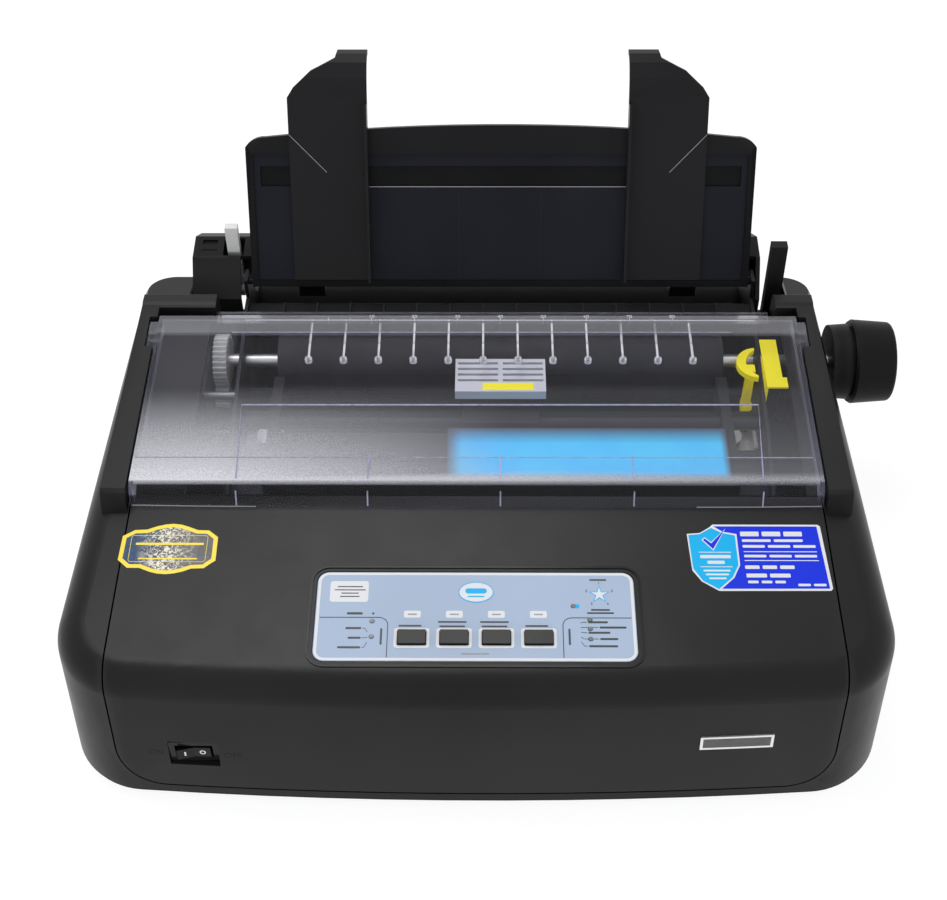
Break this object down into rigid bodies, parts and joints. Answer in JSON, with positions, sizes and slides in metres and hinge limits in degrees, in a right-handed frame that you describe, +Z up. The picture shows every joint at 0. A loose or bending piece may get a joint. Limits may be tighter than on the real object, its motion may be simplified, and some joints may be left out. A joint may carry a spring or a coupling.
{
  "type": "dot matrix printer",
  "caption": "Desktop dot matrix printer with a hinged smoke cover, a turning platen with a side knob, a sliding print head and a tilting sheet guide at the back.",
  "frame": {"origin": "on the table, under the middle of the outer box", "axes": "+X to the right as the user sees it, +Y to the back, +Z up"},
  "size_m": [0.4609, 0.3565, 0.2341],
  "materials": {
    "case_plastic": "satin black",
    "panel_plastic": "silver film",
    "button_plastic": "gloss",
    "cover_plastic": "see-through, frosted in part",
    "dark_plastic": "satin",
    "white_plastic": "satin",
    "yellow_plastic": "gloss",
    "clear_plastic": "clear",
    "rubber": "matte",
    "steel": "bright zinc",
    "motor_metal": "dull",
    "alloy": "cast",
    "board": "lacquer",
    "lamp": "clear",
    "badge_metal": "brushed",
    "ribbon_fabric": "inked"
  },
  "bodies": {
    "case": {"main_case": "case_plastic", "front_cover": "case_plastic", "badge_plate": "badge_metal", "base_pan": "case_plastic", "rubber_feet": "rubber", "case_screws": "steel", "left_frame": "steel", "right_frame": "steel", "platen_bushes": "white_plastic", "feed_motor": "motor_metal", "paper_chute": "dark_plastic", "tear_bar": "clear_plastic", "guide_rod": "steel", "support_rail": "steel", "carriage_belt": "rubber", "idler_bracket": "steel", "motor_bracket": "steel", "carriage_motor": "motor_metal", "ribbon_cartridge": "dark_plastic", "ribbon_band": "ribbon_fabric", "ribbon_tray": "steel", "rear_cover": "case_plastic", "tractor_rail": "steel", "control_panel": "panel_plastic", "panel_lamps": "lamp", "key_board": "board", "switch_housing": "dark_plastic", "main_board": "board", "board_chips": "dark_plastic", "transformer": "motor_metal", "power_inlet": "dark_plastic", "data_port": "steel", "gap_scale": "yellow_plastic"},
    "cover": {"smoke_cover": "cover_plastic"},
    "guide": {"sheet_guide": "case_plastic"},
    "left_stop": {"left_edge_guide": "case_plastic"},
    "right_stop": {"right_edge_guide": "case_plastic"},
    "platen": {"platen_roller": "rubber", "platen_shaft": "steel", "platen_gear": "white_plastic", "platen_knob": "case_plastic"},
    "pinion": {"feed_pinion": "white_plastic"},
    "rollers": {"pressure_rollers": "rubber"},
    "tractor_axle": {"tractor_shaft": "steel"},
    "left_tractor_body": {"left_tractor": "dark_plastic"},
    "right_tractor_body": {"right_tractor": "dark_plastic"},
    "carriage_body": {"carriage": "dark_plastic", "print_head": "alloy", "head_cooler": "alloy"},
    "belt_driver": {"drive_pulley": "white_plastic"},
    "belt_idler": {"idler_pulley": "white_plastic"},
    "ribbon_winder": {"ribbon_knob": "dark_plastic"},
    "release": {"release_lever": "white_plastic"},
    "feed_choice": {"feed_lever": "dark_plastic"},
    "head_gap": {"head_gap_lever": "yellow_plastic"},
    "key_1": {"button_1": "button_plastic"},
    "key_2": {"button_2": "button_plastic"},
    "key_3": {"button_3": "button_plastic"},
    "key_4": {"button_4": "button_plastic"},
    "rocker": {"power_rocker": "dark_plastic"}
  },
  "joints": [
    {"name": "cover_hinge", "type": "hinge", "parent": "case", "child": "cover", "pos_m": [-0.0145, 0.07024, 0.1146], "axis": [-1, 0, 0], "range_deg": [0, 80]},
    {"name": "guide_hinge", "type": "hinge", "parent": "case", "child": "guide", "pos_m": [-0.0145, 0.11279, 0.11443], "axis": [1, 0, 0], "range_deg": [0, 22]},
    {"name": "left_stop_slide", "type": "slide", "parent": "guide", "child": "left_stop", "axis": [1, 0, 0], "range_m": [-0.022, 0.05]},
    {"name": "right_stop_slide", "type": "slide", "parent": "guide", "child": "right_stop", "axis": [1, 0, 0], "range_m": [-0.05, 0.022]},
    {"name": "platen_turn", "type": "hinge", "parent": "case", "child": "platen", "pos_m": [-0.0145, 0.07174, 0.087], "axis": [1, 0, 0], "continuous": true},
    {"name": "pinion_turn", "type": "hinge", "parent": "case", "child": "pinion", "pos_m": [-0.0145, 0.05674, 0.07188], "axis": [1, 0, 0], "continuous": true},
    {"name": "rollers_turn", "type": "hinge", "parent": "case", "child": "rollers", "pos_m": [-0.0145, 0.06774, 0.0645], "axis": [1, 0, 0], "continuous": true},
    {"name": "tractor_turn", "type": "hinge", "parent": "case", "child": "tractor_axle", "pos_m": [-0.0145, 0.14074, 0.097], "axis": [1, 0, 0], "continuous": true},
    {"name": "left_tractor_slide", "type": "slide", "parent": "case", "child": "left_tractor_body", "axis": [1, 0, 0], "range_m": [-0.024, 0.06]},
    {"name": "right_tractor_slide", "type": "slide", "parent": "case", "child": "right_tractor_body", "axis": [1, 0, 0], "range_m": [-0.06, 0.024]},
    {"name": "carriage_slide", "type": "slide", "parent": "case", "child": "carriage_body", "axis": [1, 0, 0], "range_m": [-0.1, 0.1]},
    {"name": "driver_turn", "type": "hinge", "parent": "case", "child": "belt_driver", "pos_m": [0.1335, 0.03274, 0.058], "axis": [0, 0, 1], "continuous": true},
    {"name": "idler_turn", "type": "hinge", "parent": "case", "child": "belt_idler", "pos_m": [-0.1365, 0.03274, 0.058], "axis": [0, 0, 1], "continuous": true},
    {"name": "ribbon_turn", "type": "hinge", "parent": "case", "child": "ribbon_winder", "pos_m": [-0.1105, -0.01726, 0.092], "axis": [0, 0, 1], "continuous": true},
    {"name": "release_turn", "type": "hinge", "parent": "case", "child": "release", "pos_m": [-0.166, 0.13074, 0.094], "axis": [1, 0, 0], "range_deg": [-7, 7]},
    {"name": "feed_choice_turn", "type": "hinge", "parent": "case", "child": "feed_choice", "pos_m": [0.159, 0.11074, 0.084], "axis": [1, 0, 0], "range_deg": [-20, 12]},
    {"name": "head_gap_turn", "type": "hinge", "parent": "case", "child": "head_gap", "pos_m": [0.1435, 0.05474, 0.066], "axis": [1, 0, 0], "range_deg": [-12, 12]},
    {"name": "rocker_tip", "type": "hinge", "parent": "case", "child": "rocker", "pos_m": [-0.1593, -0.16393, 0.0366], "axis": [0, 0, -1], "range_deg": [0, 10]},
    {"name": "key_1_press", "type": "slide", "parent": "case", "child": "key_1", "axis": [0, 0.0872, -0.9962], "range_m": [0, 0.0008], "stiffness_N_per_m": 300},
    {"name": "key_2_press", "type": "slide", "parent": "case", "child": "key_2", "axis": [0, 0.0872, -0.9962], "range_m": [0, 0.0008], "stiffness_N_per_m": 300},
    {"name": "key_3_press", "type": "slide", "parent": "case", "child": "key_3", "axis": [0, 0.0872, -0.9962], "range_m": [0, 0.0008], "stiffness_N_per_m": 300},
    {"name": "key_4_press", "type": "slide", "parent": "case", "child": "key_4", "axis": [0, 0.0872, -0.9962], "range_m": [0, 0.0008], "stiffness_N_per_m": 300}
  ],
  "couplings": [
    {"joint": "pinion_turn", "follows": "platen_turn", "ratio": -2.5},
    {"joint": "rollers_turn", "follows": "platen_turn", "ratio": -2.6667},
    {"joint": "tractor_turn", "follows": "platen_turn", "ratio": 1.6},
    {"joint": "driver_turn", "follows": "carriage_slide", "rad_per_m": 161.29},
    {"joint": "idler_turn", "follows": "carriage_slide", "rad_per_m": 161.29}
  ]
}
